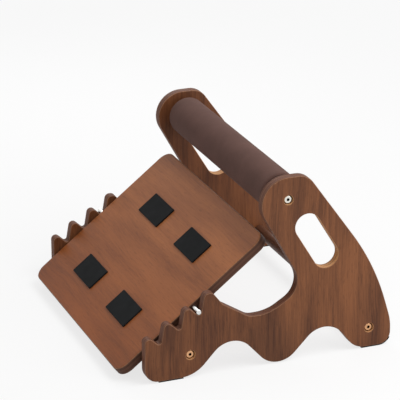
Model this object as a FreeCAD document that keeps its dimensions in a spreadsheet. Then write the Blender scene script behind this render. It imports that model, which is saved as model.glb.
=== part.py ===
import FreeCAD, Part
import math
import os

from FreeCAD import Placement, Rotation, Vector
import Sketcher

# Tilting foot rest for under a desk, in millimetres.
# Frame: +X to the user's right, +Y away from the user, +Z up.
# Origin: on the floor, in the middle of the outline. The part is symmetric about X = 0.

# Driving dimensions: alias, value, meaning.
SIZES = [
    ("overall_width", 450.0, "outer face to outer face of the side panels"),
    ("panel_thick", 15.0, "plywood of the side panels"),
    ("panel_front", -185.3, "front edge of a side panel, along Y"),
    ("panel_rear", 220.3, "rearmost point of a side panel, along Y"),
    ("panel_top", 300.0, "top of a side panel above the floor"),
    ("panel_edge_round", 1.5, "rounding of the panel's face edges"),
    ("toe_round", 22.0, "front foot, front lower corner"),
    ("toe_heel", -104.9, "front foot, rear lower corner along Y"),
    ("toe_heel_round", 52.0, "front foot, rear lower corner"),
    ("front_arch", -44.7, "middle of the front arch, along Y"),
    ("rear_arch", 110.9, "middle of the rear arch, along Y"),
    ("arch_peak", 66.8, "height where an arch's two slopes meet"),
    ("arch_round", 38.0, "crown of an arch"),
    ("lobe_middle", 30.3, "middle lobe between the arches, along Y"),
    ("lobe_point", -15.9, "height where the middle lobe's two slopes meet"),
    ("lobe_round", 38.0, "bottom of the middle lobe"),
    ("heel_front", 160.8, "rear foot, front lower corner along Y"),
    ("heel_front_round", 34.0, "rear foot, front lower corner"),
    ("heel_round", 19.0, "rear foot, rear lower corner"),
    ("back_low", 40.0, "height where the rear edge starts to lean forward"),
    ("back_low_round", 90.0, "rear edge, lower bend"),
    ("back_mid_in", 30.0, "rear edge, upper bend, forward of the rearmost point"),
    ("back_mid", 139.2, "height of the rear edge's upper bend"),
    ("back_mid_round", 400.0, "rear edge, upper bend"),
    ("crown_rear", 75.1, "rear shoulder of the top, along Y"),
    ("crown_rear_round", 30.0, "rear shoulder of the top"),
    ("crown_front", -27.6, "neck line carried up to the top, along Y"),
    ("crown_front_round", 41.4, "front of the rounded top"),
    ("neck_foot", 72.8, "lower end of the neck's front edge, along Y"),
    ("neck_foot_height", 119.8, "lower end of the neck's front edge"),
    ("neck_foot_round", 36.0, "bend between neck and bowl"),
    ("bowl_rear", 15.3, "rear end of the bowl's bottom, along Y"),
    ("bowl_rear_round", 66.0, "rear bend of the bowl"),
    ("bowl_front", -17.0, "front end of the bowl's bottom, along Y"),
    ("bowl_front_round", 25.0, "front bend of the bowl"),
    ("bowl_height", 84.8, "bottom of the bowl-shaped recess"),
    ("bowl_lip", -60.6, "bend below the rearmost tooth, along Y"),
    ("bowl_lip_height", 112.3, "bend below the rearmost tooth"),
    ("bowl_lip_round", 12.0, "bend below the rearmost tooth"),
    ("last_tooth_rear", -76.8, "rear corner of the rearmost tooth, along Y"),
    ("last_tooth_top", 133.3, "top of the rearmost tooth"),
    ("last_tooth_rear_round", 8.5, "rear corner of the rearmost tooth"),
    ("last_tooth_front_round", 8.0, "front corner of the rearmost tooth"),
    ("pin_axis", -98.7, "pivot pin axis in the rearmost notch, along Y"),
    ("pin_height", 104.8, "pivot pin axis in the rearmost notch"),
    ("notch_step_back", 31.9, "notch spacing along Y"),
    ("notch_step_up", 18.8, "notch spacing in height"),
    ("notch_wall_lean", 10.0, "lean of a notch's rear wall from upright, degrees"),
    ("notch_flank", 43.0, "slope of a tooth's rear flank, degrees"),
    ("tooth_round", 7.2, "tip of a tooth"),
    ("slot_axis", 107.8, "lower centre of the handle slot, along Y"),
    ("slot_height", 166.3, "lower centre of the handle slot"),
    ("slot_centres", 59.5, "distance between the slot's two end centres"),
    ("slot_lean", 31.3, "lean of the slot from upright, degrees"),
    ("slot_wide", 41.0, "width of the handle slot"),
    ("strip_thick", 2.0, "anti-slip strip under each foot, with its glue"),
    ("strip_glue", 0.1, "glue between a strip and its foot"),
    ("strip_wide", 12.0, "anti-slip strip across the panel"),
    ("front_strip_long", 39.5, "front anti-slip strip along Y"),
    ("front_strip_inset", 0.5, "front strip behind the toe's rounding"),
    ("rear_strip_long", 29.3, "flat part of a rear anti-slip strip along Y"),
    ("rear_strip_wrap", 62.0, "bent part of a rear strip, up round the heel, degrees"),
    ("front_bar_axis", -112.4, "front crossbar axis along Y"),
    ("front_bar_height", 37.7, "front crossbar axis above the floor"),
    ("rear_bar_axis", 183.3, "rear crossbar axis along Y"),
    ("rear_bar_height", 33.5, "rear crossbar axis above the floor"),
    ("bar_diameter", 18.0, "round crossbar"),
    ("bar_bevel", 0.8, "bevel on the ends of a crossbar"),
    ("bar_bore_depth", 18.0, "bore in each end of a crossbar"),
    ("insert_diameter", 9.0, "threaded insert in a crossbar"),
    ("insert_long", 13.0, "length of a threaded insert"),
    ("bar_bolt_reach", 14.0, "crossbar bolt past the panel's inner face"),
    ("bolt_diameter", 6.0, "shank of every bolt"),
    ("bolt_bevel", 0.6, "bevel on a bolt's tip"),
    ("bolt_head_diameter", 12.0, "button head of every bolt"),
    ("bolt_head_high", 4.2, "height of the button head"),
    ("bolt_head_round", 1.0, "rounding of the button head's rim"),
    ("socket_flats", 4.6, "hexagon socket across its flats"),
    ("socket_depth", 3.0, "depth of the hexagon socket"),
    ("recess_diameter", 15.0, "counterbore in the panel"),
    ("recess_depth", 8.0, "depth of the counterbore"),
    ("recess_bevel", 0.6, "bevel on the rim of the counterbore"),
    ("washer_diameter", 12.5, "washer under each bolt head"),
    ("washer_thick", 1.2, "washer under each bolt head"),
    ("hole_clearance", 0.2, "radial clearance of a bolt in wood and washers"),
    ("thread_clearance", 0.02, "radial gap that stands for the thread"),
    ("fit_gap", 0.02, "radial gap between pieces pushed together"),
    ("roller_axis", 44.5, "roller axis along Y"),
    ("roller_drop", 36.0, "roller axis below the top of a panel"),
    ("nut_flats", 10.0, "lock nut across its flats"),
    ("nut_thick", 5.0, "lock nut on an axle bolt"),
    ("roller_play", 0.5, "end play between roller and lock nut"),
    ("plug_diameter", 26.0, "flange of a roller end plug"),
    ("plug_flange", 4.0, "thickness of the end plug's flange"),
    ("plug_depth", 22.0, "end plug inside the core tube"),
    ("axle_reach", 28.0, "axle bolt past the panel's inner face"),
    ("axle_clearance", 0.05, "radial clearance of the axle in the plug"),
    ("core_diameter", 28.0, "core tube outside"),
    ("core_wall", 2.5, "core tube wall"),
    ("core_lip", 8.0, "core tube past each end of the foam"),
    ("foam_diameter", 63.0, "foam sleeve outside"),
    ("foam_round", 2.0, "rounding of the foam's ends"),
    ("board_side_gap", 6.0, "gap between the foot board and a panel"),
    ("board_long", 300.0, "foot board from front to rear edge"),
    ("board_thick", 15.0, "plywood of the foot board"),
    ("board_corner", 20.0, "corner radius of the foot board"),
    ("board_edge_round", 2.5, "rounding of the board's edges"),
    ("board_tilt", 38.0, "slope of the board at rest, degrees"),
    ("pin_diameter", 8.0, "steel pivot pin"),
    ("pin_clearance", 0.05, "radial clearance of a pin in notch and board"),
    ("pin_depth", 50.0, "length of a pin inside the board"),
    ("pin_end_gap", 0.5, "bore in the board past the end of its pin"),
    ("pin_bevel", 0.8, "bevel on the ends of a pin"),
    ("grip_wide", 80.0, "grip pad across, along X"),
    ("grip_long", 40.0, "grip pad along the board"),
    ("grip_thick", 2.5, "grip pad"),
    ("grip_corner", 2.0, "corner radius of a grip pad"),
    ("grip_edge_round", 0.8, "rounding of a grip pad's top"),
    ("grip_across", 79.0, "grip pad centre from the middle of the board"),
    ("front_grip", 79.0, "front grip pad centre from the pin axis"),
    ("rear_grip", 65.0, "rear grip pad centre from the pin axis"),
]

SHEET = "Sizes"
TINY = 1e-4


class Size:
    """A length or an angle together with the expression that binds it to the sheet."""

    def __init__(self, value, text):
        self.value = value
        self.text = text

    def __add__(self, other):
        return Size(self.value + other.value, f"({self.text} + {other.text})")

    def __sub__(self, other):
        return Size(self.value - other.value, f"({self.text} - {other.text})")

    def __neg__(self):
        return Size(-self.value, f"(-1 * {self.text})")

    def __mul__(self, other):
        if isinstance(other, Size):
            return Size(self.value * other.value, f"({self.text} * {other.text})")
        return Size(self.value * other, f"({self.text} * {other})")

    def __truediv__(self, other):
        if isinstance(other, Size):
            return Size(self.value / other.value, f"({self.text} / {other.text})")
        return Size(self.value / other, f"({self.text} / {other})")


def sine(angle):
    return Size(math.sin(math.radians(angle.value)), f"sin({angle.text} * 1 deg)")


def cosine(angle):
    return Size(math.cos(math.radians(angle.value)), f"cos({angle.text} * 1 deg)")


def tangent(angle):
    return Size(math.tan(math.radians(angle.value)), f"tan({angle.text} * 1 deg)")


doc = FreeCAD.newDocument("TiltingFootRest")
sheet = doc.addObject("Spreadsheet::Sheet", SHEET)
for row, (alias, value, meaning) in enumerate(SIZES, start=1):
    sheet.set(f"A{row}", str(value))
    sheet.setAlias(f"A{row}", alias)
    sheet.set(f"B{row}", meaning)
doc.recompute()


def size(alias):
    """One driving dimension, read back from the sheet."""
    return Size(float(getattr(sheet, alias)), f"{SHEET}.{alias}")


zero = Size(0.0, "0")
one = Size(1.0, "1")
half_width = size("overall_width") / 2
inner_face = half_width - size("panel_thick")
panel_bottom = size("strip_thick")
notch_radius = size("pin_diameter") / 2 + size("pin_clearance")
bolt_radius = size("bolt_diameter") / 2
hole_radius = bolt_radius + size("hole_clearance")
thread_radius = bolt_radius + size("thread_clearance")
plug_end = inner_face - size("nut_thick") - size("roller_play")
core_end = plug_end - size("plug_flange")
board_side = inner_face - size("board_side_gap")

ROLLER_SPOT = (size("roller_axis"), size("panel_top") - size("roller_drop"))
BAR_SPOTS = [
    (size("front_bar_axis"), size("front_bar_height")),
    (size("rear_bar_axis"), size("rear_bar_height")),
]
BOLT_SPOTS = [ROLLER_SPOT, *BAR_SPOTS]

pieces = []


def keep(piece, label, solids=1):
    """Count an object as one named sub-part of so many solids."""
    piece.Label = label
    pieces.append((piece, solids))


def new_body(name):
    return doc.addObject("PartDesign::Body", name)


def new_sketch(body, role, name, offset=None):
    """A sketch on one of the body's own origin planes, or offset from it."""
    plane = next(item for item in body.Origin.OriginFeatures if item.Role == role)
    sketch = body.newObject("Sketcher::SketchObject", name)
    sketch.AttachmentSupport = [(plane, "")]
    sketch.MapMode = "FlatFace"
    if offset is not None:
        sketch.setExpression("AttachmentOffset.Base.z", offset.text)
    return sketch


def hold(sketch, kind, where, amount):
    """Add one dimension to a sketch and bind it to the sheet."""
    index = sketch.addConstraint(Sketcher.Constraint(kind, *where, amount.value))
    sketch.setExpression(f"Constraints[{index}]", amount.text)


def hold_point(sketch, index, end, point):
    hold(sketch, "DistanceX", (index, end), point[0])
    hold(sketch, "DistanceY", (index, end), point[1])


def at(point):
    return Vector(point[0].value, point[1].value, 0)


def add_polygon(sketch, corners):
    """Closed run of lines through corners, each corner a pair of sizes."""
    first = sketch.GeometryCount
    count = len(corners)
    for i, corner in enumerate(corners):
        sketch.addGeometry(Part.LineSegment(at(corner), at(corners[(i + 1) % count])), False)
    for i in range(count):
        following = first + (i + 1) % count
        sketch.addConstraint(Sketcher.Constraint("Coincident", first + i, 2, following, 1))
    for i, corner in enumerate(corners):
        hold_point(sketch, first + i, 1, corner)


def add_rectangle(sketch, middle, wide, high):
    left, right = middle[0] - wide / 2, middle[0] + wide / 2
    low, top = middle[1] - high / 2, middle[1] + high / 2
    add_polygon(sketch, [(left, low), (right, low), (right, top), (left, top)])


def add_circle(sketch, centre, radius):
    circle = Part.Circle(at(centre), Vector(0, 0, 1), radius.value)
    index = sketch.addGeometry(circle, False)
    hold_point(sketch, index, 3, centre)
    hold(sketch, "Radius", (index,), radius)


def add_hexagon(sketch, centre, flats):
    """Regular hexagon with two corners level with its centre."""
    reach = flats / (2 * math.cos(math.pi / 6))
    corners = []
    for turn in range(0, 360, 60):
        direction = Size(float(turn), str(turn))
        across = centre[0] + reach * cosine(direction)
        corners.append((across, centre[1] + reach * sine(direction)))
    add_polygon(sketch, corners)


def add_stadium(sketch, low, top, radius):
    """Slot outline: two half circles and the two lines that join them."""
    low_at, top_at = at(low), at(top)
    along = math.atan2(top_at.y - low_at.y, top_at.x - low_at.x)
    side = Vector(-math.sin(along), math.cos(along), 0) * radius.value
    axis = Vector(0, 0, 1)
    quarter = math.pi / 2
    top_circle = Part.Circle(top_at, axis, radius.value)
    low_circle = Part.Circle(low_at, axis, radius.value)
    runs = [
        Part.ArcOfCircle(top_circle, along - quarter, along + quarter),
        Part.LineSegment(top_at + side, low_at + side),
        Part.ArcOfCircle(low_circle, along + quarter, along + 3 * quarter),
        Part.LineSegment(low_at - side, top_at - side),
    ]
    first = sketch.GeometryCount
    for run in runs:
        sketch.addGeometry(run, False)
    for i in range(4):
        following = first + (i + 1) % 4
        sketch.addConstraint(Sketcher.Constraint("Tangent", first + i, 2, following, 1))
    hold_point(sketch, first, 3, top)
    hold_point(sketch, first + 2, 3, low)
    hold(sketch, "Radius", (first,), radius)


def pad(body, sketch, length, name):
    feature = body.newObject("PartDesign::Pad", name)
    feature.Profile = sketch
    feature.setExpression("Length", length.text)
    doc.recompute()
    return feature


def pocket(body, sketch, length, name, forward=True):
    """Pocket of a set depth, along the sketch's normal or against it."""
    before = body.Shape.Volume
    feature = body.newObject("PartDesign::Pocket", name)
    feature.Profile = sketch
    feature.setExpression("Length", length.text)
    feature.Reversed = forward
    doc.recompute()
    if body.Shape.Volume > before - TINY:
        raise RuntimeError(f"{body.Name}: {name} cuts nothing")
    return feature


def revolve(body, profile, name, angle=None):
    """Full turn of a profile about its own horizontal axis, or a turn by an angle."""
    feature = body.newObject("PartDesign::Revolution", name)
    feature.Profile = profile
    feature.ReferenceAxis = (profile, ["H_Axis"])
    feature.Angle = 360.0
    if angle is not None:
        feature.setExpression("Angle", angle.text)
    doc.recompute()
    return feature


def dress(body, chosen, amount, name, kind="Fillet"):
    """Round or bevel the edges of the body's last feature that chosen() picks."""
    base = body.Tip
    edges = [f"Edge{i}" for i, edge in enumerate(base.Shape.Edges, start=1) if chosen(edge)]
    if not edges:
        raise RuntimeError(f"{body.Name}: {name} finds no edge")
    feature = body.newObject("PartDesign::" + kind, name)
    feature.Base = (base, edges)
    feature.setExpression("Radius" if kind == "Fillet" else "Size", amount.text)
    doc.recompute()
    return feature


def flat_at(axis, level):
    """Picks edges that lie in the plane where axis equals level."""

    def chosen(edge):
        box = edge.BoundBox
        low, high = getattr(box, axis + "Min"), getattr(box, axis + "Max")
        return abs(low - level.value) < TINY and abs(high - level.value) < TINY

    return chosen


def upright(edge):
    """Picks straight edges along Z."""
    box = edge.BoundBox
    return box.XLength < TINY and box.YLength < TINY


def across_at(corners):
    """Picks straight edges along X that pass through the given corners."""

    def chosen(edge):
        box = edge.BoundBox
        if box.YLength > TINY or box.ZLength > TINY:
            return False
        spots = [(across.value, up.value) for across, up in corners]
        return any(math.hypot(box.YMin - y, box.ZMin - z) < 10 * TINY for y, z in spots)

    return chosen


def place(piece, x, y, z):
    piece.setExpression("Placement.Base.x", x.text)
    piece.setExpression("Placement.Base.y", y.text)
    piece.setExpression("Placement.Base.z", z.text)


def place_on_board(piece):
    """Set a piece that is drawn on the level board at the board's slope."""
    piece.Placement = Placement(Vector(0, 0, 0), Rotation(Vector(1, 0, 0), 1.0))
    piece.setExpression("Placement.Rotation.Angle", size("board_tilt").text)
    place(piece, zero, size("pin_axis"), size("pin_height"))


def mirror(source, name):
    """The left-hand twin of a right-hand piece."""
    twin = doc.addObject("Part::Mirroring", name)
    twin.Source = source
    twin.Base = Vector(0, 0, 0)
    twin.Normal = Vector(1, 0, 0)
    return twin


def keep_pair(right, label):
    """Keep a right-hand piece and its left-hand twin as two sub-parts."""
    keep(right, label + "_right")
    keep(mirror(right, label + "_left"), label + "_left")


def keep_set(right, label, spots):
    """Keep like fasteners at the same spots on both sides as one sub-part of loose solids."""
    group = doc.addObject("Part::Compound", label)
    group.Links = [right, mirror(right, label + "_left_twins")]
    keep(group, label, 2 * len(spots))


# Side panel outline in the YZ plane, as sharp corners that are rounded afterwards.


def notch_centre(step):
    """Pin axis in a notch, counted forward from the rearmost one."""
    along = size("pin_axis") - size("notch_step_back") * step
    return along, size("pin_height") - size("notch_step_up") * step


def rear_wall(step):
    """Point where the pin touches a notch's rear wall."""
    along, up = notch_centre(step)
    lean = size("notch_wall_lean")
    return along + notch_radius * cosine(lean), up - notch_radius * sine(lean)


def front_flank(step):
    """Point where the pin touches the flank of the tooth in front of a notch."""
    along, up = notch_centre(step)
    slope = size("notch_flank")
    return along - notch_radius * sine(slope), up - notch_radius * cosine(slope)


def meet(wall, flank):
    """Corner between a notch's rear wall and a tooth's flank."""
    lean, slope = tangent(size("notch_wall_lean")), tangent(size("notch_flank"))
    rise = (flank[1] - wall[1] + (flank[0] - wall[0]) * slope) / (one + lean * slope)
    return wall[0] + rise * lean, wall[1] + rise


def wall_at(step, height):
    """Point on a notch's rear wall at a height."""
    wall = rear_wall(step)
    return wall[0] + (height - wall[1]) * tangent(size("notch_wall_lean")), height


def flank_at(step, along):
    """Point on a tooth's flank at a place along Y."""
    flank = front_flank(step)
    return along, flank[1] + (flank[0] - along) * tangent(size("notch_flank"))


toe = (size("panel_front"), panel_bottom)
toe_heel = (size("toe_heel"), panel_bottom)
front_arch = (size("front_arch"), size("arch_peak"))
lobe = (size("lobe_middle"), size("lobe_point"))
rear_arch = (size("rear_arch"), size("arch_peak"))
heel_front = (size("heel_front"), panel_bottom)
heel = (size("panel_rear"), panel_bottom)
back_low = (size("panel_rear"), size("back_low"))
back_mid = (size("panel_rear") - size("back_mid_in"), size("back_mid"))
crown_rear = (size("crown_rear"), size("panel_top"))
crown_front = (size("crown_front"), size("panel_top"))
neck_foot = (size("neck_foot"), size("neck_foot_height"))
bowl_rear = (size("bowl_rear"), size("bowl_height"))
bowl_front = (size("bowl_front"), size("bowl_height"))
bowl_lip = (size("bowl_lip"), size("bowl_lip_height"))
last_tooth_rear = (size("last_tooth_rear"), size("last_tooth_top"))
last_tooth_front = wall_at(0, size("last_tooth_top"))
notches = [meet(rear_wall(step), front_flank(step)) for step in range(3)]
teeth = [meet(rear_wall(step + 1), front_flank(step)) for step in range(2)]
teeth.append(flank_at(2, size("panel_front")))

OUTLINE = [
    toe, toe_heel, front_arch, lobe, rear_arch, heel_front, heel, back_low, back_mid,
    crown_rear, crown_front, neck_foot, bowl_rear, bowl_front, bowl_lip,
    last_tooth_rear, last_tooth_front,
    *[corner for pair in zip(notches, teeth) for corner in pair],
]

ROUNDINGS = [
    ("Toe", [toe], size("toe_round")),
    ("ToeHeel", [toe_heel], size("toe_heel_round")),
    ("Arches", [front_arch, rear_arch], size("arch_round")),
    ("Lobe", [lobe], size("lobe_round")),
    ("HeelFront", [heel_front], size("heel_front_round")),
    ("Heel", [heel], size("heel_round")),
    ("BackLow", [back_low], size("back_low_round")),
    ("BackMid", [back_mid], size("back_mid_round")),
    ("CrownRear", [crown_rear], size("crown_rear_round")),
    ("CrownFront", [crown_front], size("crown_front_round")),
    ("NeckFoot", [neck_foot], size("neck_foot_round")),
    ("BowlRear", [bowl_rear], size("bowl_rear_round")),
    ("BowlFront", [bowl_front], size("bowl_front_round")),
    ("BowlLip", [bowl_lip], size("bowl_lip_round")),
    ("LastToothRear", [last_tooth_rear], size("last_tooth_rear_round")),
    ("LastToothFront", [last_tooth_front], size("last_tooth_front_round")),
    ("Notches", notches, notch_radius),
    ("Teeth", teeth, size("tooth_round")),
]


def side_panel():
    """Plywood side panel with its notches, handle slot and counterbored bolt holes."""
    body = new_body("side_panel")
    outline = new_sketch(body, "YZ_Plane", "panel_outline")
    add_polygon(outline, OUTLINE)
    pad(body, outline, size("panel_thick"), "Plate")
    for name, corners, radius in ROUNDINGS:
        dress(body, across_at(corners), radius, name)

    slot = new_sketch(body, "YZ_Plane", "handle_slot")
    low = (size("slot_axis"), size("slot_height"))
    lean = size("slot_lean")
    reach = size("slot_centres")
    top = (low[0] - reach * sine(lean), low[1] + reach * cosine(lean))
    add_stadium(slot, low, top, size("slot_wide") / 2)
    pocket(body, slot, size("panel_thick"), "HandleSlot")
    dress(body, flat_at("X", zero), size("panel_edge_round"), "InnerEdges")
    dress(body, flat_at("X", size("panel_thick")), size("panel_edge_round"), "OuterEdges")

    holes = new_sketch(body, "YZ_Plane", "bolt_holes")
    for spot in BOLT_SPOTS:
        add_circle(holes, spot, hole_radius)
    pocket(body, holes, size("panel_thick"), "BoltHoles")
    seat = size("panel_thick") - size("recess_depth")
    recesses = new_sketch(body, "YZ_Plane", "recesses", seat)
    for spot in BOLT_SPOTS:
        add_circle(recesses, spot, size("recess_diameter") / 2)
    pocket(body, recesses, size("recess_depth"), "Recesses")
    at_outer = flat_at("X", size("panel_thick"))
    recess_radius = size("recess_diameter").value / 2

    def recess_rim(edge):
        if not at_outer(edge) or not isinstance(edge.Curve, Part.Circle):
            return False
        return abs(edge.Curve.Radius - recess_radius) < TINY

    dress(body, recess_rim, size("recess_bevel"), "RecessRims", "Chamfer")
    place(body, inner_face, zero, zero)
    return body


def toe_strip():
    """Flat anti-slip strip under the right panel's front foot."""
    body = new_body("toe_strip")
    sketch = new_sketch(body, "XY_Plane", "toe_strip_outline")
    add_rectangle(sketch, (zero, zero), size("strip_wide"), size("front_strip_long"))
    pad(body, sketch, size("strip_thick") - size("strip_glue"), "Strip")
    start = size("panel_front") + size("toe_round") + size("front_strip_inset")
    middle = start + size("front_strip_long") / 2
    place(body, inner_face + size("panel_thick") / 2, middle, zero)
    return body


def heel_strip():
    """Anti-slip strip under the right panel's rear foot, bent up round the heel."""
    body = new_body("heel_strip")
    thick = size("strip_thick") - size("strip_glue")
    reach = size("heel_round") + size("strip_thick")
    section = (zero, thick / 2 - reach)
    flat = new_sketch(body, "XZ_Plane", "heel_strip_flat")
    add_rectangle(flat, section, size("strip_wide"), thick)
    pad(body, flat, size("rear_strip_long"), "Flat")
    bend = new_sketch(body, "XZ_Plane", "heel_strip_bend")
    add_rectangle(bend, section, size("strip_wide"), thick)
    revolve(body, bend, "Bend", size("rear_strip_wrap"))
    place(body, inner_face + size("panel_thick") / 2,
          size("panel_rear") - size("heel_round"), reach)
    return body


def crossbar(name, spot):
    """Round wooden bar between the panels, bored at both ends for its inserts."""
    body = new_body(name)
    profile = new_sketch(body, "XY_Plane", name + "_profile")
    outer, bevel = size("bar_diameter") / 2, size("bar_bevel")
    bore = size("insert_diameter") / 2 + size("fit_gap")
    end, deep = inner_face, inner_face - size("bar_bore_depth")
    add_polygon(profile, [
        (-deep, zero), (-deep, bore), (-end, bore), (-end, outer - bevel),
        (bevel - end, outer), (end - bevel, outer), (end, outer - bevel), (end, bore),
        (deep, bore), (deep, zero),
    ])
    revolve(body, profile, "Bar")
    place(body, zero, *spot)
    return body


def rings(name, spots, hole, outer, low, length):
    """Rings about axes along X, measured from the right panel's inner face."""
    body = new_body(name)
    sketch = new_sketch(body, "YZ_Plane", name + "_outline", low)
    for spot in spots:
        add_circle(sketch, spot, outer)
        add_circle(sketch, spot, hole)
    pad(body, sketch, length, "Rings")
    place(body, inner_face, zero, zero)
    return body


def bolts(name, spots, reach):
    """Button-head bolts through the right panel. reach is past its inner face."""
    body = new_body(name)
    seat = size("panel_thick") - size("recess_depth") + size("washer_thick")
    top = seat + size("bolt_head_high")
    shanks = new_sketch(body, "YZ_Plane", name + "_shanks", -reach)
    heads = new_sketch(body, "YZ_Plane", name + "_heads", seat)
    sockets = new_sketch(body, "YZ_Plane", name + "_sockets", top)
    for spot in spots:
        add_circle(shanks, spot, bolt_radius)
        add_circle(heads, spot, size("bolt_head_diameter") / 2)
        add_hexagon(sockets, spot, size("socket_flats"))
    pad(body, shanks, reach + seat, "Shanks")
    pad(body, heads, size("bolt_head_high"), "Heads")
    dress(body, flat_at("X", -reach), size("bolt_bevel"), "Tips", "Chamfer")
    dress(body, flat_at("X", top), size("bolt_head_round"), "HeadRims")
    pocket(body, sockets, size("socket_depth"), "Sockets", forward=False)
    place(body, inner_face, zero, zero)
    return body


def lock_nut():
    """Hexagon nut that clamps an axle bolt to the right panel."""
    body = new_body("lock_nut")
    sketch = new_sketch(body, "YZ_Plane", "nut_outline", -size("nut_thick"))
    add_hexagon(sketch, ROLLER_SPOT, size("nut_flats"))
    add_circle(sketch, ROLLER_SPOT, thread_radius)
    pad(body, sketch, size("nut_thick"), "Nut")
    place(body, inner_face, zero, zero)
    return body


def roller_core():
    """Tube that carries the foam, from end plug to end plug."""
    body = new_body("roller_core")
    profile = new_sketch(body, "XY_Plane", "core_profile")
    outer = size("core_diameter") / 2
    middle = (zero, outer - size("core_wall") / 2)
    add_rectangle(profile, middle, core_end * 2, size("core_wall"))
    revolve(body, profile, "Tube")
    place(body, zero, *ROLLER_SPOT)
    return body


def roller_foam():
    """Foam sleeve round the core tube."""
    body = new_body("roller_foam")
    profile = new_sketch(body, "XY_Plane", "foam_profile")
    hole = size("core_diameter") / 2 + size("fit_gap")
    wall = size("foam_diameter") / 2 - hole
    end = core_end - size("core_lip")
    add_rectangle(profile, (zero, hole + wall / 2), end * 2, wall)
    revolve(body, profile, "Sleeve")
    outer = size("foam_diameter") / 2

    def rim(edge):
        box = edge.BoundBox
        at_end = abs(abs(box.XMin) - end.value) < TINY and box.XLength < TINY
        return at_end and abs(box.ZMax - outer.value) < TINY

    dress(body, rim, size("foam_round"), "Rims")
    place(body, zero, *ROLLER_SPOT)
    return body


def roller_plug():
    """Flanged plug in the right end of the core tube, turning on the axle bolt."""
    body = new_body("roller_plug")
    profile = new_sketch(body, "XY_Plane", "plug_profile")
    bore = bolt_radius + size("axle_clearance")
    stem = size("core_diameter") / 2 - size("core_wall") - size("fit_gap")
    flange = size("plug_diameter") / 2
    deep = core_end - size("plug_depth")
    add_polygon(profile, [
        (deep, bore), (plug_end, bore), (plug_end, flange), (core_end, flange),
        (core_end, stem), (deep, stem),
    ])
    revolve(body, profile, "Plug")
    place(body, zero, *ROLLER_SPOT)
    return body


def foot_board():
    """Tilting plywood board, bored at both side edges for its pins."""
    body = new_body("foot_board")
    half_thick = size("board_thick") / 2
    outline = new_sketch(body, "XY_Plane", "board_outline", -half_thick)
    add_rectangle(outline, (zero, zero), board_side * 2, size("board_long"))
    pad(body, outline, size("board_thick"), "Board")
    dress(body, upright, size("board_corner"), "Corners")
    dress(body, flat_at("Z", half_thick), size("board_edge_round"), "TopEdges")
    dress(body, flat_at("Z", -half_thick), size("board_edge_round"), "LowerEdges")
    depth = size("pin_depth") + size("pin_end_gap")
    for name, start, forward in (("right", board_side, False), ("left", -board_side, True)):
        bore = new_sketch(body, "YZ_Plane", f"{name}_pin_bore", start)
        add_circle(bore, (zero, zero), notch_radius)
        pocket(body, bore, depth, f"{name.title()}Bore", forward)
    place_on_board(body)
    return body


def pivot_pin():
    """Steel pin from the board's right edge to the panel's outer face."""
    body = new_body("pivot_pin")
    profile = new_sketch(body, "XY_Plane", "pin_profile")
    start, end = board_side - size("pin_depth"), half_width
    outer, bevel = size("pin_diameter") / 2, size("pin_bevel")
    add_polygon(profile, [
        (start, zero), (start, outer - bevel), (start + bevel, outer),
        (end - bevel, outer), (end, outer - bevel), (end, zero),
    ])
    revolve(body, profile, "Pin")
    place(body, zero, *notch_centre(0))
    return body


def grip_pad(name, along):
    """Rubber pad on the right half of the board."""
    body = new_body(name)
    top = size("board_thick") / 2
    outline = new_sketch(body, "XY_Plane", name + "_outline", top)
    middle = (size("grip_across"), along)
    add_rectangle(outline, middle, size("grip_wide"), size("grip_long"))
    pad(body, outline, size("grip_thick"), "Pad")
    dress(body, upright, size("grip_corner"), "Corners")
    dress(body, flat_at("Z", top + size("grip_thick")), size("grip_edge_round"), "TopEdges")
    place_on_board(body)
    return body


keep_pair(side_panel(), "side_panel")
keep_pair(toe_strip(), "foot_strip_front")
keep_pair(heel_strip(), "foot_strip_rear")
keep(crossbar("bar_f", BAR_SPOTS[0]), "crossbar_front")
keep(crossbar("bar_r", BAR_SPOTS[1]), "crossbar_rear")
insert_radius = size("insert_diameter") / 2
insert_long = size("insert_long")
keep_set(rings("inserts", BAR_SPOTS, thread_radius, insert_radius, -insert_long, insert_long),
         "crossbar_inserts", BAR_SPOTS)
keep_set(bolts("bar_bolts", BAR_SPOTS, size("bar_bolt_reach")), "crossbar_bolts", BAR_SPOTS)
keep_set(bolts("axles", [ROLLER_SPOT], size("axle_reach")), "roller_axle_bolts", [ROLLER_SPOT])
washer_seat = size("panel_thick") - size("recess_depth")
washer_radius = size("washer_diameter") / 2
keep_set(rings("washer_set", BOLT_SPOTS, hole_radius, washer_radius, washer_seat,
               size("washer_thick")), "bolt_washers", BOLT_SPOTS)
keep_set(lock_nut(), "roller_lock_nuts", [ROLLER_SPOT])
keep(roller_core(), "roller_core_tube")
keep(roller_foam(), "roller_foam_sleeve")
keep_pair(roller_plug(), "roller_end_plug")
keep(foot_board(), "tilting_board")
keep_pair(pivot_pin(), "pivot_pin")
keep_pair(grip_pad("grip_f", -size("front_grip")), "grip_pad_front")
keep_pair(grip_pad("grip_r", size("rear_grip")), "grip_pad_rear")
doc.recompute()

for item in doc.Objects:
    if "Invalid" in item.State or "Error" in item.State:
        raise RuntimeError(f"{item.Label} failed: {item.State}")
for piece, solids in pieces:
    shape = piece.Shape
    if shape.isNull() or not shape.isValid():
        raise RuntimeError(f"{piece.Label} has no valid shape")
    if len(shape.Solids) != solids:
        raise RuntimeError(f"{piece.Label} has {len(shape.Solids)} solids, not {solids}")

os.makedirs("parts", exist_ok=True)
for piece, solids in pieces:
    piece.Shape.exportStep(f"parts/{piece.Label}.step")
    box = piece.Shape.BoundBox
    print(f"{piece.Label}: {piece.Shape.Volume / 1000:.2f} cm3, "
          f"Y {box.YMin:.1f} to {box.YMax:.1f}, Z {box.ZMin:.1f} to {box.ZMax:.1f}")
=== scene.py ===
import math

import bpy
from mathutils import Matrix, Vector


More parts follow.
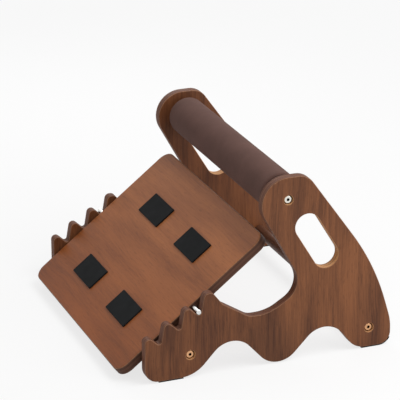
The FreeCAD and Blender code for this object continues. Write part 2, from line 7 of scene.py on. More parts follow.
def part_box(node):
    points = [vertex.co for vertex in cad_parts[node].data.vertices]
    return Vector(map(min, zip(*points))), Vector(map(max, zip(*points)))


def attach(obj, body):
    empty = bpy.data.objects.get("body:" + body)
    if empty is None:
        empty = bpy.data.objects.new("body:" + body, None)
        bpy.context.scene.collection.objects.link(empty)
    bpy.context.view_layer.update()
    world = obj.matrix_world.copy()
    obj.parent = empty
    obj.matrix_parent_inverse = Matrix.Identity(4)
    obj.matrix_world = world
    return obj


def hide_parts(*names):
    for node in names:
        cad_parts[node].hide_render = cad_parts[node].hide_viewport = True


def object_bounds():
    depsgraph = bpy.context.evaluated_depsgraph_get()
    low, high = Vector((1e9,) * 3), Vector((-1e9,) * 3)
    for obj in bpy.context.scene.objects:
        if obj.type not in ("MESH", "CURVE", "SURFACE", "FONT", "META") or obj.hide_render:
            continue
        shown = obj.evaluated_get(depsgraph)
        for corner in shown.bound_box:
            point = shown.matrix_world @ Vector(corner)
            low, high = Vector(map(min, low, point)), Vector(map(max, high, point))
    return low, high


bl_info = {
    "name": "Tilting Foot Rest",
    "version": (1, 0, 0),
    "blender": (4, 5, 0),
    "location": "3D View > Sidebar > Foot Rest",
    "description": "Finishes a walnut foot rest and sets it on a pale studio floor",
    "category": "Object",
}

# Lengths are in metres. The board's low edge is at the front: +X right, +Y back, +Z up.
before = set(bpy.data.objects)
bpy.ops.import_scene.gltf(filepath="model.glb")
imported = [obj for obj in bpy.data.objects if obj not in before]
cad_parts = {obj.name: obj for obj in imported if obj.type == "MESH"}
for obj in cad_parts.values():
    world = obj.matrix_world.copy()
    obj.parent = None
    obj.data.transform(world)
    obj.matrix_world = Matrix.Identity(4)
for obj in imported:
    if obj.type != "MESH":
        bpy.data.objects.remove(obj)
CAD_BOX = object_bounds()
CAD_HEIGHT = CAD_BOX[1][2] - CAD_BOX[0][2]
MM = 0.001


def node_middle(name):
    """Centre of a node's box at rest."""
    low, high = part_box(name)
    return (Vector(low) + Vector(high)) / 2


PIN_AXIS = node_middle("pivot_pin_right")
ROLLER_AXIS = node_middle("roller_foam_sleeve")
FOAM_LOW, FOAM_HIGH = (Vector(corner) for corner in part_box("roller_foam_sleeve"))

# Slope of the foot board at rest, and the direction through the board.
BOARD_TILT = math.radians(38.0)
BOARD_ACROSS = Vector((0, -math.sin(BOARD_TILT), math.cos(BOARD_TILT)))

# The hand slot along Y and Z: its middle, its lean from upright, and the half axes of an
# ellipse that just holds it.
SLOT_MIDDLE = (92.3 * MM, 191.7 * MM)
SLOT_LEAN = math.radians(31.3)
SLOT_REACH = (30 * MM, 62 * MM)

# Axes of the bolts, radius that just holds their counterbores, and how far the faces of
# their heads lie from the middle of the foot rest; metal nearer the middle is painted shade.
BOLT_AXES = [node_middle(name) for name in (
    "crossbar_front", "crossbar_rear", "roller_foam_sleeve")]
RECESS_REACH = 8.3 * MM
HEAD_FACE = 221.6 * MM

# Painted light on the walnut: its tint close by and farther away, and the distances between
# which one turns into the other: from the middle lobe of a panel, or above the floor. Close
# by, the panels are painted darker as painted shade, and the left panel is darker all over;
# the board is painted darker and more orange low down as painted shade, and lighter and
# greyer high up as painted sheen.
PANEL_PAINTED_SHADE = {
    "right": ((0.80, 0.80, 0.83), (0.99, 0.97, 0.96)),
    "left": ((0.75, 0.71, 0.69), (0.93, 0.87, 0.82)),
}
PANEL_SEEDS = {"right": 10.0, "left": 21.0}
PANEL_HEART = (0.0, 15 * MM, 0.0)
HEART_REACH = (40 * MM, 110 * MM)
BOARD_PAINTED_SHADE_AND_SHEEN = ((0.83, 0.67, 0.49), (1.14, 1.10, 1.03))
BOARD_SEED = 5.0
HEIGHT_REACH = (30 * MM, 150 * MM)

# Layers of the wood's figure: width and length in millimetres, detail, step of the seed
# and share of the tone. They are broad clouds, growth bands and, last, fibres.
FIGURE = (
    (55, 240, 1.0, 0.0, 0.43),
    (17, 210, 2.0, 4.0, 0.24),
    (2.6, 80, 3.0, 9.0, 0.33),
)
# Walnut's pores are 0.2 mm wide, drawn here as wide as they need to show.
PORES = (1.8, 14, 1.0, 13.0)
GRAIN_WANDER = 16 * MM

# Tint across a pair of plies in a cut edge, 0 at the middle of the dark one.
PLY_PAIR = 6 * MM
PLY_TINTS = [
    (0.0, (0.68, 0.66, 0.64, 1.0)), (0.20, (0.78, 0.76, 0.74, 1.0)),
    (0.28, (1.16, 1.14, 1.12, 1.0)), (0.5, (1.0, 1.0, 1.0, 1.0)),
]
# Painted highlight along the rounded arrises, by how squarely the surface faces out of the
# board.
ARRIS_STOPS = [
    (0.45, (0, 0, 0, 1)), (0.65, (1, 1, 1, 1)), (0.86, (1, 1, 1, 1)), (0.96, (0, 0, 0, 1)),
]

# Colours that aren't settings, sRGB hex.
PANEL_EDGE = "#704734"
BOARD_EDGE = "#553628"
BARE_PLY = "#CE9865"
ARRIS_HIGHLIGHT = "#B48A6A"
DOWEL_LIGHT, DOWEL_DARK = "#6A4430", "#452B1F"
STEEL = "#E4E4E2"
NICKEL = "#E2DFD6"
BRASS = "#D8A67C"
CORE_PLASTIC = "#2A2321"

# The sleeve's mesh has this many rings along it and sides round it. Its skin has this
# many slow waves to the metre.
SLEEVE_RINGS = 260
SLEEVE_SIDES = 72
SLEEVE_WAVES = 22.0

# The floor: its paint, the share of plain white that the camera sees in it, and the
# distances between which that share grows to all of it.
WHITE = (1.0, 1.0, 1.0, 1.0)
FLOOR_GREY = (0.86, 0.86, 0.86, 1.0)
FLOOR_WHITE = 0.75
FLOOR_FADE = (0.6, 3.6)
ROOM_LIGHT = 0.52

# Lamps: diameter, place and the point that they face.
LAMPS = {
    "key": (1.6, (0.9, 0.9, 2.3), (0, 0, 0.15)),
    "fill": (0.9, (1.35, 0.95, 0.75), (0, 0, 0.15)),
    "window": (0.7, (-1.25, 0.15, 0.85), (-0.1, -0.05, 0.15)),
}

CAMERA_PLACE = (3.0426, -1.2116, 1.4559)
CAMERA_RIGHT = Vector((0.36774, 0.92993, 0.0))
CAMERA_UP = Vector((-0.33532, 0.13260, 0.93272))


class FinishSettings(bpy.types.PropertyGroup):
    """Colours and gloss of the wood, foam and rubber."""

    panel_light: bpy.props.StringProperty(
        name="Panel light", description="Pale walnut streaks of the side panels, sRGB hex",
        default="#7E4F31")
    panel_dark: bpy.props.StringProperty(
        name="Panel dark", description="Dark walnut streaks of the side panels, sRGB hex",
        default="#4A2B1C")
    board_light: bpy.props.StringProperty(
        name="Board light", description="Pale walnut streaks of the foot board, sRGB hex",
        default="#9A5E35")
    board_dark: bpy.props.StringProperty(
        name="Board dark", description="Dark walnut streaks of the foot board, sRGB hex",
        default="#7A4624")
    foam_colour: bpy.props.StringProperty(
        name="Foam", description="Skin of the foam sleeve, sRGB hex", default="#5F453E")
    rubber_colour: bpy.props.StringProperty(
        name="Rubber", description="Grip pads and foot strips, sRGB hex", default="#101112")
    lacquer_roughness: bpy.props.FloatProperty(
        name="Lacquer roughness", description="Gloss of the satin lacquer", default=0.45,
        min=0.05, max=1.0, subtype="FACTOR")


class SleeveSettings(bpy.types.PropertyGroup):
    """Sizes of the foam sleeve."""

    length: bpy.props.FloatProperty(
        name="Length", description="Foam from end to end",
        default=FOAM_HIGH.x - FOAM_LOW.x, min=0.05, unit="LENGTH")
    radius: bpy.props.FloatProperty(
        name="Radius", description="Outside radius of the foam",
        default=(FOAM_HIGH.z - FOAM_LOW.z) / 2, min=0.005, unit="LENGTH")
    end_round: bpy.props.FloatProperty(
        name="End rounding", description="Rounding where the skin turns in at the ends",
        default=2.5 * MM, min=0.0, unit="LENGTH")
    dimple: bpy.props.FloatProperty(
        name="Unevenness", description="Depth of the slow waves in the foam's skin",
        default=0.25 * MM, min=0.0, unit="LENGTH")


class StageSettings(bpy.types.PropertyGroup):
    """Floor, lamps and camera."""

    floor_half: bpy.props.FloatProperty(
        name="Floor half width", description="Reach of the floor from the middle",
        default=6.0, min=1.0, unit="LENGTH")
    key_power: bpy.props.FloatProperty(
        name="Key lamp", description="Power of the large lamp overhead", default=34.0, min=0.0,
        unit="POWER")
    fill_power: bpy.props.FloatProperty(
        name="Fill lamp", description="Power of the lamp on the right side", default=7.0,
        min=0.0, unit="POWER")
    window_power: bpy.props.FloatProperty(
        name="Window lamp",
        description="Power of the lamp on the left that gives the board sheen",
        default=3.0, min=0.0, unit="POWER")
    focal_length: bpy.props.FloatProperty(
        name="Focal length", description="Camera lens in millimetres", default=200.2, min=10.0)


def linear(hex_colour):
    """sRGB hex as linear red, green, blue and alpha."""
    parts = [int(hex_colour[i:i + 2], 16) / 255 for i in (1, 3, 5)]
    lit = [p / 12.92 if p <= 0.04045 else ((p + 0.055) / 1.055) ** 2.4 for p in parts]
    return (*lit, 1.0)


def add(tree, kind, inputs=None, **settings):
    """Add one node. inputs maps a socket's name or number to a value or an output."""
    node = tree.nodes.new(kind)
    for name, value in settings.items():
        setattr(node, name, value)
    for key, value in (inputs or {}).items():
        if isinstance(value, bpy.types.NodeSocket):
            tree.links.new(value, node.inputs[key])
        else:
            node.inputs[key].default_value = value
    return node


def blank_material(name):
    """A new material with an empty node tree, and that tree."""
    material = bpy.data.materials.new(name)
    material.use_nodes = True
    material.node_tree.nodes.clear()
    return material, material.node_tree


def ramp(tree, factor, stops):
    """Colour ramp through (position, linear colour) stops."""
    node = add(tree, "ShaderNodeValToRGB", {"Fac": factor})
    bands = node.color_ramp.elements
    while len(bands) < len(stops):
        bands.new(0.5)
    for band, (position, colour) in zip(bands, stops):
        band.position = position
        band.color = colour
    return node.outputs["Color"]


def mix(tree, factor, one, other, blend="MIX"):
    """Colour between one and other."""
    node = add(tree, "ShaderNodeMix", {0: factor, 6: one, 7: other},
               data_type="RGBA", blend_type=blend)
    return node.outputs[2]


def calc(tree, operation, *values, clamp=False):
    """Arithmetic on numbers."""
    node = add(tree, "ShaderNodeMath", dict(enumerate(values)), operation=operation,
               use_clamp=clamp)
    return node.outputs[0]


def shade(tree, colour, bump=None, **constants):
    """Principled surface. constants are set on the shader's own sockets."""
    inputs = {"Base Color": colour}
    if bump is not None:
        inputs["Normal"] = bump
    for name, value in constants.items():
        inputs[name.replace("_", " ").title().replace("Ior", "IOR")] = value
    surface = add(tree, "ShaderNodeBsdfPrincipled", inputs)
    add(tree, "ShaderNodeOutputMaterial", {"Surface": surface.outputs[0]})


def shaded(colour, factor):
    """A linear colour made lighter or darker."""
    return (*(channel * factor for channel in colour[:3]), 1.0)


def noise(tree, coords, cell, detail, output="Fac"):
    """Even noise. cell is the size of its patches in millimetres."""
    return add(tree, "ShaderNodeTexNoise", {
        "Vector": coords, "Scale": 1000.0 / cell, "Detail": detail}).outputs[output]


def streaks(tree, coords, cell, detail, offset):
    """Noise drawn out into streaks. cell is their size along X, Y and Z in millimetres."""
    cells = add(tree, "ShaderNodeMapping", {
        "Vector": coords, "Scale": [1000.0 / size for size in cell],
        "Location": (offset,) * 3})
    return add(tree, "ShaderNodeTexNoise", {
        "Vector": cells.outputs[0], "Scale": 1.0, "Detail": detail,
        "Roughness": 0.6}).outputs["Fac"]


def grain_tone(tree, coords, along, seed):
    """Tone of sawn wood from 0 to 1, its fibres and its pores. along is the grain's axis."""

    def layer(wide, long, detail, step):
        cell = [long if axis == along else wide for axis in range(3)]
        return streaks(tree, coords, cell, detail, seed + step)

    tone = 0.0
    for *shape, share in FIGURE:
        fibres = layer(*shape)
        tone = calc(tree, "MULTIPLY_ADD", fibres, share, tone)
    pore = calc(tree, "SUBTRACT", layer(*PORES), 0.58, clamp=True)
    return tone, fibres, calc(tree, "MULTIPLY", pore, 7.0, clamp=True)


def sawn(tree, tone, pore, light, dark):
    """Colour of the wood for its tone, from dark to light linear colours."""
    middle = tuple((a + b) / 2 for a, b in zip(light, dark))
    wood = ramp(tree, tone, [
        (0.36, dark), (0.48, middle), (0.60, light), (0.70, shaded(light, 1.12))])
    return mix(tree, calc(tree, "MULTIPLY", pore, 0.3), wood, shaded(dark, 0.55))


def in_hand_slot(tree, position):
    """1 inside an ellipse that just holds the hand slot, where its cut edge is."""
    # The ellipse is so long along X that only Y and Z count.
    local = add(tree, "ShaderNodeMapping", {
        "Vector": position, "Location": (0, *SLOT_MIDDLE), "Rotation": (SLOT_LEAN, 0, 0),
        "Scale": (100.0, *SLOT_REACH)}, vector_type="TEXTURE")
    away = add(tree, "ShaderNodeVectorMath", {0: local.outputs[0]}, operation="LENGTH")
    return calc(tree, "LESS_THAN", away.outputs["Value"], 1.0)


def off_axis(tree, position, axis):
    """Distance from the line along X through the point axis."""
    flat = add(tree, "ShaderNodeVectorMath", {0: position, 1: (0, 1, 1)}, operation="MULTIPLY")
    away = add(tree, "ShaderNodeVectorMath", {
        0: flat.outputs[0], 1: (0, axis[1], axis[2])}, operation="DISTANCE")
    return away.outputs["Value"]


def in_recess(tree, position):
    """1 inside the bolts' counterbores, where their walls are."""
    inside = 0.0
    for axis in BOLT_AXES:
        inside = calc(tree, "MAXIMUM", inside, calc(
            tree, "LESS_THAN", off_axis(tree, position, axis), RECESS_REACH))
    return inside


def walnut(name, light, dark, edge, along, across, gloss, seed, painted_shade_and_sheen, heart=None,
           origin=(0, 0, 0), turn=(0, 0, 0), raw=None):
    """Walnut-veneered plywood, stained and lacquered satin.

    The veneer shows straight fibres 2 to 3 mm wide and short dark pores over slow soft
    bands. The two tints given are painted light: the first, close to the point heart or else
    low down, is painted shade; the second, farther away, is lighter, and on the board it is
    painted sheen. The stained cut edges show the plies, and a painted highlight runs along
    the rounded arrises. along is the axis the grain follows after origin and turn, across the
    direction through the board. raw is the paler colour of the cut edges of the hand slot and
    the counterbores.
    """
    material, tree = blank_material(name)
    light, dark, edge = linear(light), linear(dark), linear(edge)
    place = add(tree, "ShaderNodeTexCoord")
    position = place.outputs["Object"]
    moved = add(tree, "ShaderNodeMapping", {
        "Vector": position, "Location": origin, "Rotation": turn})
    wander = noise(tree, moved.outputs[0], 170.0, 1.0, "Color")
    drift = add(tree, "ShaderNodeVectorMath", {0: wander, 1: (0.5, 0.5, 0.5)},
                operation="SUBTRACT")
    drift = add(tree, "ShaderNodeVectorMath", {0: drift.outputs[0], 3: GRAIN_WANDER},
                operation="SCALE")
    bent = add(tree, "ShaderNodeVectorMath", {0: moved.outputs[0], 1: drift.outputs[0]},
               operation="ADD")
    tone, fibres, pore = grain_tone(tree, bent.outputs[0], along, seed)
    veneer = sawn(tree, tone, pore, light, dark)
    if heart is None:
        away = add(tree, "ShaderNodeSeparateXYZ", {0: position}).outputs[2]
        near, far = HEIGHT_REACH
    else:
        away = off_axis(tree, position, heart)
        near, far = HEART_REACH
    # Painted shade close to heart or low down, fading to the farther tint, which on the board
    # is painted sheen.
    tint = ramp(tree, calc(tree, "DIVIDE", away, CAD_HEIGHT), [
        (near / CAD_HEIGHT, (*painted_shade_and_sheen[0], 1.0)), (far / CAD_HEIGHT, (*painted_shade_and_sheen[1], 1.0))])
    veneer = mix(tree, 1.0, veneer, tint, "MULTIPLY")

    facing = add(tree, "ShaderNodeVectorMath", {0: place.outputs["Normal"], 1: across},
                 operation="DOT_PRODUCT")
    facing = calc(tree, "ABSOLUTE", facing.outputs["Value"])
    # 1 on the veneered faces and 0 on the cut edges, with the change on the rounded arris.
    on_face = calc(tree, "MULTIPLY", calc(tree, "SUBTRACT", facing, 0.72, clamp=True), 8.0,
                   clamp=True)
    through = add(tree, "ShaderNodeVectorMath", {0: position, 1: across},
                  operation="DOT_PRODUCT")
    ply = calc(tree, "FRACT", calc(tree, "DIVIDE", through.outputs["Value"], PLY_PAIR))
    plies = ramp(tree, calc(tree, "ABSOLUTE", calc(tree, "SUBTRACT", ply, 0.5)), PLY_TINTS)
    fuzz = noise(tree, position, 1.4, 2.0)
    if raw is not None:
        bare = calc(tree, "MAXIMUM", in_hand_slot(tree, position), in_recess(tree, position))
        edge = mix(tree, bare, edge, linear(raw))
    cut = mix(tree, 1.0, edge, plies, "MULTIPLY")
    cut = mix(tree, calc(tree, "MULTIPLY", fuzz, 0.4), cut, (0.06, 0.03, 0.02, 1.0))
    colour = mix(tree, on_face, cut, veneer)
    # Painted highlight: the rounded arrises are painted paler, streaked by the fibres.
    painted_arris_highlight = calc(tree, "MULTIPLY", ramp(tree, facing, ARRIS_STOPS), calc(
        tree, "MULTIPLY", fibres, 0.7))
    colour = mix(tree, painted_arris_highlight, colour, linear(ARRIS_HIGHLIGHT))

    relief = calc(tree, "MULTIPLY_ADD", pore, -1.0, calc(tree, "MULTIPLY", fibres, 0.25))
    bump = add(tree, "ShaderNodeBump", {"Height": relief, "Strength": 0.12,
                                        "Distance": 0.2 * MM})
    # The lacquer sinks into the cut edges and leaves them duller than the faces.
    dull = calc(tree, "MULTIPLY_ADD", on_face, -0.15, gloss + 0.1)
    dull = calc(tree, "MULTIPLY_ADD", fibres, 0.1, dull)
    shade(tree, colour, bump.outputs[0], roughness=dull, ior=1.5, specular_ior_level=0.2)
    return material


def dowel(name, light, dark):
    """Turned beech dowel under a walnut stain, its grain along X and dull end grain."""
    material, tree = blank_material(name)
    light, dark = linear(light), linear(dark)
    place = add(tree, "ShaderNodeTexCoord")
    tone, fibres, pore = grain_tone(tree, place.outputs["Object"], 0, 2.0)
    side = sawn(tree, tone, pore, light, dark)
    facing = add(tree, "ShaderNodeVectorMath", {
        0: place.outputs["Normal"], 1: (1.0, 0.0, 0.0)}, operation="DOT_PRODUCT")
    at_end = calc(tree, "GREATER_THAN", calc(tree, "ABSOLUTE", facing.outputs["Value"]), 0.6)
    colour = mix(tree, at_end, side, shaded(dark, 0.8))
    bump = add(tree, "ShaderNodeBump", {"Height": fibres, "Strength": 0.1,
                                        "Distance": 0.2 * MM})
    shade(tree, colour, bump.outputs[0], roughness=0.5, ior=1.5, specular_ior_level=0.25)
    return material


def foam_skin(name, colour):
    """Closed-cell foam with a smooth extruded skin: dull, soft, faintly cellular."""
    material, tree = blank_material(name)
    coords = add(tree, "ShaderNodeTexCoord").outputs["Object"]
    tint = linear(colour)
    # Real cells are about 0.3 mm across, drawn here at 1.1 mm so that they show.
    cells = add(tree, "ShaderNodeTexVoronoi", {
        "Vector": coords, "Scale": 1000.0 / 1.1}).outputs["Distance"]
    shades = ramp(tree, noise(tree, coords, 28.0, 3.0), [
        (0.3, shaded(tint, 0.9)), (0.7, shaded(tint, 1.08))])
    tinted = mix(tree, calc(tree, "MULTIPLY", cells, 0.18), shades, shaded(tint, 0.6))
    bump = add(tree, "ShaderNodeBump", {"Height": cells, "Strength": 0.25,
                                        "Distance": 0.15 * MM})
    shade(tree, tinted, bump.outputs[0], roughness=0.85, ior=1.45, specular_ior_level=0.2)
    return material


def rubber(name, colour, grit):
    """Moulded rubber, nearly black and matt, with a fine moulded grit in millimetres."""
    material, tree = blank_material(name)
    coords = add(tree, "ShaderNodeTexCoord").outputs["Object"]
    tint = linear(colour)
    dusty = ramp(tree, noise(tree, coords, 17.0, 4.0),
                 [(0.35, tint), (0.75, shaded(tint, 1.7))])
    bump = add(tree, "ShaderNodeBump", {"Height": noise(tree, coords, grit, 2.0),
                                        "Strength": 0.4, "Distance": 0.1 * MM})
    shade(tree, dusty, bump.outputs[0], roughness=0.8, ior=1.5, specular_ior_level=0.12)
    return material


def metal(name, colour, roughness, marks, painted_shade_within=None):
    """Turned or plated metal with fine lathe marks across the axis, marks in millimetres.

    Nearer to the middle of the foot rest along X than the last argument, when given, it is
    painted almost black: painted shade down the bolts' sockets and round their heads and
    washers. The marks fade about every 17 mm along their way.
    """
    material, tree = blank_material(name)
    coords = add(tree, "ShaderNodeTexCoord").outputs["Object"]
    cells = add(tree, "ShaderNodeMapping", {
        "Vector": coords, "Scale": (1000.0 / marks, 60.0, 60.0)})
    lines = add(tree, "ShaderNodeTexNoise", {
        "Vector": cells.outputs[0], "Scale": 1.0, "Detail": 2.0}).outputs["Fac"]
    tint = linear(colour)
    tone = ramp(tree, lines, [(0.3, shaded(tint, 0.85)), (0.65, tint)])
    if painted_shade_within is not None:
        along = add(tree, "ShaderNodeSeparateXYZ", {0: coords}).outputs[0]
        # Painted shade: the socket, the head's side and the washer are painted almost black.
        inside = calc(tree, "LESS_THAN", calc(tree, "ABSOLUTE", along), painted_shade_within)
        tone = mix(tree, inside, tone, shaded(tint, 0.06))
    bump = add(tree, "ShaderNodeBump", {"Height": lines, "Strength": 0.15,
                                        "Distance": 0.05 * MM})
    shade(tree, tone, bump.outputs[0], roughness=roughness, metallic=1.0)
    return material


def plastic(name, colour):
    """Moulded ABS, dark and semi-matt with a slight grain from the mould."""
    material, tree = blank_material(name)
    coords = add(tree, "ShaderNodeTexCoord").outputs["Object"]
    grain = noise(tree, coords, 0.55, 1.0)
    tint = linear(colour)
    tone = ramp(tree, grain, [(0.3, tint), (0.7, shaded(tint, 1.2))])
    bump = add(tree, "ShaderNodeBump", {"Height": grain, "Strength": 0.2,
                                        "Distance": 0.05 * MM})
    shade(tree, tone, bump.outputs[0], roughness=0.5, ior=1.53)
    return material


def finish_nodes(names, material):
    """Give CAD nodes a finish in every material slot."""
    for name in names:
        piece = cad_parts[name]
        for slot in piece.material_slots:
            slot.material = material


class FOOTREST_OT_panels(bpy.types.Operator):
    """Finish the two side panels in walnut with upright grain"""

    bl_idname = "footrest.panels"
    bl_label = "Side panels"

    def execute(self, context):
        finish = context.scene.footrest_finish
        for side, seed in PANEL_SEEDS.items():
            material = walnut(
                f"walnut-veneered plywood, panel {side}", finish.panel_light,
                finish.panel_dark, PANEL_EDGE, 2, (1.0, 0.0, 0.0), finish.lacquer_roughness,
                seed, PANEL_PAINTED_SHADE[side], PANEL_HEART, raw=BARE_PLY)
            finish_nodes([f"side_panel_{side}"], material)
        return {"FINISHED"}


class FOOTREST_OT_board(bpy.types.Operator):
    """Finish the foot board in walnut with the grain from side to side"""

    bl_idname = "footrest.board"
    bl_label = "Foot board"

    def execute(self, context):
        finish = context.scene.footrest_finish
        level = Matrix.Rotation(-BOARD_TILT, 3, "X")
        material = walnut(
            "walnut-veneered plywood, board", finish.board_light, finish.board_dark,
            BOARD_EDGE, 0, BOARD_ACROSS, finish.lacquer_roughness, BOARD_SEED, BOARD_PAINTED_SHADE_AND_SHEEN,
            origin=-(level @ PIN_AXIS), turn=(-BOARD_TILT, 0, 0))
        finish_nodes(["tilting_board"], material)
        return {"FINISHED"}


class FOOTREST_OT_crossbars(bpy.types.Operator):
    """Finish the round crossbars in stained beech with the grain along them"""

    bl_idname = "footrest.crossbars"
    bl_label = "Crossbars"

    def execute(self, context):
        material = dowel("beech dowel, walnut stain", DOWEL_LIGHT, DOWEL_DARK)
        finish_nodes(["crossbar_front", "crossbar_rear"], material)
        return {"FINISHED"}


class FOOTREST_OT_rubber(bpy.types.Operator):
    """Finish the grip pads and the strips under the feet in black rubber"""

    bl_idname = "footrest.rubber"
    bl_label = "Grip pads and foot strips"

    def execute(self, context):
        finish = context.scene.footrest_finish
        pads = rubber("moulded EPDM rubber, pads", finish.rubber_colour, 0.8)
        strips = rubber("cut EPDM rubber, strips", finish.rubber_colour, 0.5)
        ends = [f"{end}_{side}" for end in ("front", "rear") for side in ("right", "left")]
        finish_nodes([f"grip_pad_{end}" for end in ends], pads)
        finish_nodes([f"foot_strip_{end}" for end in ends], strips)
        return {"FINISHED"}


class FOOTREST_OT_metal(bpy.types.Operator):
    """Finish pins, bolts, washers, nuts and inserts"""

    bl_idname = "footrest.metal"
    bl_label = "Pins and bolts"

    def execute(self, context):
        steel = metal("turned stainless steel", STEEL, 0.22, 0.4)
        nickel = metal("nickel-plated steel", NICKEL, 0.18, 0.6)
        axles = metal("nickel-plated steel, bolt heads", NICKEL, 0.18, 0.6, HEAD_FACE)
        brass = metal("brass", BRASS, 0.24, 0.6)
        gilt = metal("yellow-passivated steel, bolt heads", BRASS, 0.24, 0.6, HEAD_FACE)
        finish_nodes(["pivot_pin_right", "pivot_pin_left"], steel)
        finish_nodes(["roller_lock_nuts"], nickel)
        finish_nodes(["roller_axle_bolts", "bolt_washers"], axles)
        finish_nodes(["crossbar_inserts"], brass)
        finish_nodes(["crossbar_bolts"], gilt)
        return {"FINISHED"}


def sleeve_tree(material):
    """Geometry nodes that turn a rounded profile about X into a foam sleeve."""
    tree = bpy.data.node_groups.new("foam sleeve", "GeometryNodeTree")
    sockets = {}
    for label in ("Length", "Radius", "End rounding", "Unevenness"):
        socket = tree.interface.new_socket(
            label, in_out="INPUT", socket_type="NodeSocketFloat")
        sockets[label] = socket.identifier
    tree.interface.new_socket(
        "Geometry", in_out="OUTPUT", socket_type="NodeSocketGeometry")
    given = add(tree, "NodeGroupInput")
    half = calc(tree, "MULTIPLY", given.outputs["Length"], 0.5)
    start = add(tree, "ShaderNodeCombineXYZ", {0: calc(tree, "MULTIPLY", half, -1.0)})
    end = add(tree, "ShaderNodeCombineXYZ", {0: half})
    line = add(tree, "GeometryNodeCurvePrimitiveLine", {
        "Start": start.outputs[0], "End": end.outputs[0]})
    line = add(tree, "GeometryNodeResampleCurve", {
        "Curve": line.outputs[0], "Count": SLEEVE_RINGS})
    # Near an end the radius shrinks along a quarter circle of the end rounding.
    across = add(tree, "ShaderNodeSeparateXYZ", {0: add(
        tree, "GeometryNodeInputPosition").outputs[0]}).outputs[0]
    inward = calc(tree, "SUBTRACT", half, calc(tree, "ABSOLUTE", across))
    bend = given.outputs["End rounding"]
    short = calc(tree, "MAXIMUM", calc(tree, "SUBTRACT", bend, inward), 0.0)
    reach = calc(tree, "SQRT", calc(tree, "MAXIMUM", calc(
        tree, "SUBTRACT", calc(tree, "MULTIPLY", bend, bend),
        calc(tree, "MULTIPLY", short, short)), 0.0))
    radius = calc(tree, "ADD", calc(tree, "SUBTRACT", given.outputs["Radius"], bend), reach)
    rounded = add(tree, "GeometryNodeSetCurveRadius", {
        "Curve": line.outputs[0], "Radius": radius})
    ring = add(tree, "GeometryNodeCurvePrimitiveCircle", {
        "Resolution": SLEEVE_SIDES, "Radius": 1.0})
    skin = add(tree, "GeometryNodeCurveToMesh", {
        "Curve": rounded.outputs[0], "Profile Curve": ring.outputs[0], "Fill Caps": True})
    # A Curve to Mesh node with a Scale of its own takes no notice of the curve's radius.
    if "Scale" in skin.inputs:
        tree.links.new(radius, skin.inputs["Scale"])
    waves = add(tree, "ShaderNodeTexNoise", {"Scale": SLEEVE_WAVES, "Detail": 1.0})
    depth = calc(tree, "MULTIPLY", calc(tree, "SUBTRACT", waves.outputs["Fac"], 1.0),
                 given.outputs["Unevenness"])
    push = add(tree, "ShaderNodeVectorMath", {
        0: add(tree, "GeometryNodeInputNormal").outputs[0], 3: depth}, operation="SCALE")
    uneven = add(tree, "GeometryNodeSetPosition", {
        "Geometry": skin.outputs[0], "Offset": push.outputs[0]})
    smooth = add(tree, "GeometryNodeSetShadeSmooth", {"Geometry": uneven.outputs[0]})
    whole = add(tree, "GeometryNodeRealizeInstances", {"Geometry": smooth.outputs[0]})
    dressed = add(tree, "GeometryNodeSetMaterial", {
        "Geometry": whole.outputs[0], "Material": material})
    add(tree, "NodeGroupOutput", {0: dressed.outputs[0]})
    return tree, sockets


def bake_nodes(name, tree, values, place):
    """Run a geometry node tree on an empty mesh and keep the result as a plain mesh."""
    carrier = bpy.data.objects.new(name, bpy.data.meshes.new(name))
    bpy.context.collection.objects.link(carrier)
    modifier = carrier.modifiers.new("Nodes", "NODES")
    modifier.node_group = tree
    for identifier, value in values.items():
        modifier[identifier] = value
    evaluated = carrier.evaluated_get(bpy.context.evaluated_depsgraph_get())
    mesh = bpy.data.meshes.new_from_object(evaluated)
    carrier.modifiers.remove(modifier)
    mesh.transform(place)
    carrier.data = mesh
    return carrier


class FOOTREST_OT_sleeve(bpy.types.Operator):
    """Make the foam sleeve of the roller"""

    bl_idname = "footrest.sleeve"
    bl_label = "Foam sleeve"

    def execute(self, context):
        sizes = context.scene.footrest_sleeve
        material = foam_skin("extruded EVA foam", context.scene.footrest_finish.foam_colour)
        tree, sockets = sleeve_tree(material)
        values = {
            sockets["Length"]: sizes.length, sockets["Radius"]: sizes.radius,
            sockets["End rounding"]: sizes.end_round, sockets["Unevenness"]: sizes.dimple,
        }
        sleeve = bake_nodes("foam_sleeve", tree, values, Matrix.Translation(ROLLER_AXIS))
        if not sleeve.data.vertices:
            raise RuntimeError("the foam sleeve has no surface")
        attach(sleeve, "roller")
        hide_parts("roller_foam_sleeve")
        core = plastic("moulded ABS, roller core", CORE_PLASTIC)
        finish_nodes(
            ["roller_core_tube", "roller_end_plug_right", "roller_end_plug_left"], core)
        return {"FINISHED"}


def area_lamp(name, power, size, place, target):
    """A round soft lamp at place that faces target."""
    lamp = bpy.data.lights.new(name, "AREA")
    lamp.energy = power
    lamp.shape = "DISK"
    lamp.size = size
    holder = bpy.data.objects.new(name, lamp)
    holder.location = place
    aim = Vector(target) - Vector(place)
    holder.rotation_euler = aim.to_track_quat("-Z", "Y").to_euler()
    bpy.context.collection.objects.link(holder)


def seen(tree):
    """1 for rays from the camera and for those reflected in gloss or glass."""
    path = add(tree, "ShaderNodeLightPath")
    gloss = calc(tree, "MAXIMUM", path.outputs["Is Glossy Ray"],
                 path.outputs["Is Transmission Ray"])
    return calc(tree, "MAXIMUM", path.outputs["Is Camera Ray"], gloss)


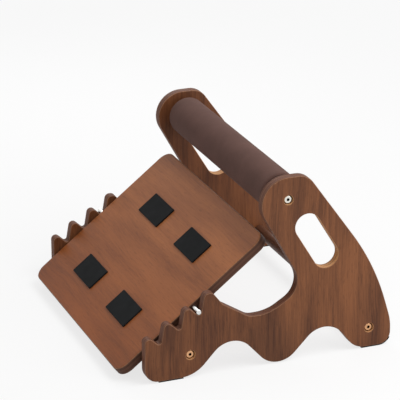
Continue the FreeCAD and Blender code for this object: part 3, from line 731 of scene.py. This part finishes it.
def painted_white():
    """Painted studio floor: mostly its own white, so that only the soft shadow shows.

    Far from the foot rest it fades into the white wall.
    """
    material, tree = blank_material("matt white studio floor")
    matt = add(tree, "ShaderNodeBsdfDiffuse", {"Color": FLOOR_GREY})
    white = add(tree, "ShaderNodeEmission", {"Color": WHITE, "Strength": 1.0})
    place = add(tree, "ShaderNodeTexCoord").outputs["Object"]
    away = add(tree, "ShaderNodeVectorMath", {0: place}, operation="LENGTH")
    start, end = FLOOR_FADE
    fade = calc(tree, "DIVIDE", calc(tree, "SUBTRACT", away.outputs["Value"], start),
                end - start, clamp=True)
    share = calc(tree, "MULTIPLY", seen(tree), calc(
        tree, "MULTIPLY_ADD", fade, 1.0 - FLOOR_WHITE, FLOOR_WHITE))
    both = add(tree, "ShaderNodeMixShader", {
        0: share, 1: matt.outputs[0], 2: white.outputs[0]})
    add(tree, "ShaderNodeOutputMaterial", {"Surface": both.outputs[0]})
    return material


def make_floor(reach):
    """A square floor at height 0, from -reach to reach."""
    mesh = bpy.data.meshes.new("floor")
    corners = [(-reach, -reach, 0), (reach, -reach, 0), (reach, reach, 0), (-reach, reach, 0)]
    mesh.from_pydata(corners, [], [(0, 1, 2, 3)])
    mesh.materials.append(painted_white())
    floor = bpy.data.objects.new("floor", mesh)
    bpy.context.collection.objects.link(floor)


def make_room(scene):
    """Even light from all round, in front of walls that look white."""
    world = bpy.data.worlds.new("studio")
    world.use_nodes = True
    sky = world.node_tree
    sky.nodes.clear()
    room = add(sky, "ShaderNodeBackground", {"Color": WHITE, "Strength": ROOM_LIGHT})
    wall = add(sky, "ShaderNodeBackground", {"Color": WHITE, "Strength": 1.0})
    both = add(sky, "ShaderNodeMixShader", {
        0: seen(sky), 1: room.outputs[0], 2: wall.outputs[0]})
    add(sky, "ShaderNodeOutputWorld", {"Surface": both.outputs[0]})
    scene.world = world


def make_camera(scene, focal_length):
    """The photograph's viewpoint."""
    lens = bpy.data.cameras.new("camera")
    lens.lens = focal_length
    camera = bpy.data.objects.new("camera", lens)
    turn = Matrix((CAMERA_RIGHT, CAMERA_UP, CAMERA_RIGHT.cross(CAMERA_UP))).transposed()
    camera.matrix_world = Matrix.Translation(CAMERA_PLACE) @ turn.to_4x4()
    bpy.context.collection.objects.link(camera)
    scene.camera = camera


class FOOTREST_OT_stage(bpy.types.Operator):
    """Set the foot rest on a pale floor under soft light, with the camera"""

    bl_idname = "footrest.stage"
    bl_label = "Stage and camera"

    def execute(self, context):
        scene = context.scene
        stage = scene.footrest_stage
        scene.view_settings.view_transform = "Standard"
        make_floor(stage.floor_half)
        make_room(scene)
        for name, (size, place, target) in LAMPS.items():
            area_lamp(name, getattr(stage, f"{name}_power"), size, place, target)
        make_camera(scene, stage.focal_length)
        return {"FINISHED"}


OPERATORS = (
    FOOTREST_OT_stage, FOOTREST_OT_panels, FOOTREST_OT_board, FOOTREST_OT_crossbars,
    FOOTREST_OT_rubber, FOOTREST_OT_metal, FOOTREST_OT_sleeve,
)


class FOOTREST_PT_sidebar(bpy.types.Panel):
    """Lists the foot rest's steps and settings"""

    bl_idname = "FOOTREST_PT_sidebar"
    bl_label = "Foot Rest"
    bl_space_type = "VIEW_3D"
    bl_region_type = "UI"
    bl_category = "Foot Rest"

    def draw(self, context):
        for operator in OPERATORS:
            self.layout.operator(operator.bl_idname)
        for group in ("footrest_finish", "footrest_sleeve", "footrest_stage"):
            settings = getattr(context.scene, group)
            box = self.layout.box()
            for name in type(settings).__annotations__:
                box.prop(settings, name)


GROUPS = {
    "footrest_finish": FinishSettings, "footrest_sleeve": SleeveSettings,
    "footrest_stage": StageSettings,
}


def register():
    for group in GROUPS.values():
        bpy.utils.register_class(group)
    for operator in OPERATORS:
        bpy.utils.register_class(operator)
    bpy.utils.register_class(FOOTREST_PT_sidebar)
    for name, group in GROUPS.items():
        setattr(bpy.types.Scene, name, bpy.props.PointerProperty(type=group))


def unregister():
    for name in GROUPS:
        delattr(bpy.types.Scene, name)
    bpy.utils.unregister_class(FOOTREST_PT_sidebar)
    for operator in reversed(OPERATORS):
        bpy.utils.unregister_class(operator)
    for group in reversed(list(GROUPS.values())):
        bpy.utils.unregister_class(group)


def main():
    """Run every step in order."""
    register()
    for operator in OPERATORS:
        category, name = operator.bl_idname.split(".")
        getattr(getattr(bpy.ops, category), name)()


if __name__ == "__main__":
    main()
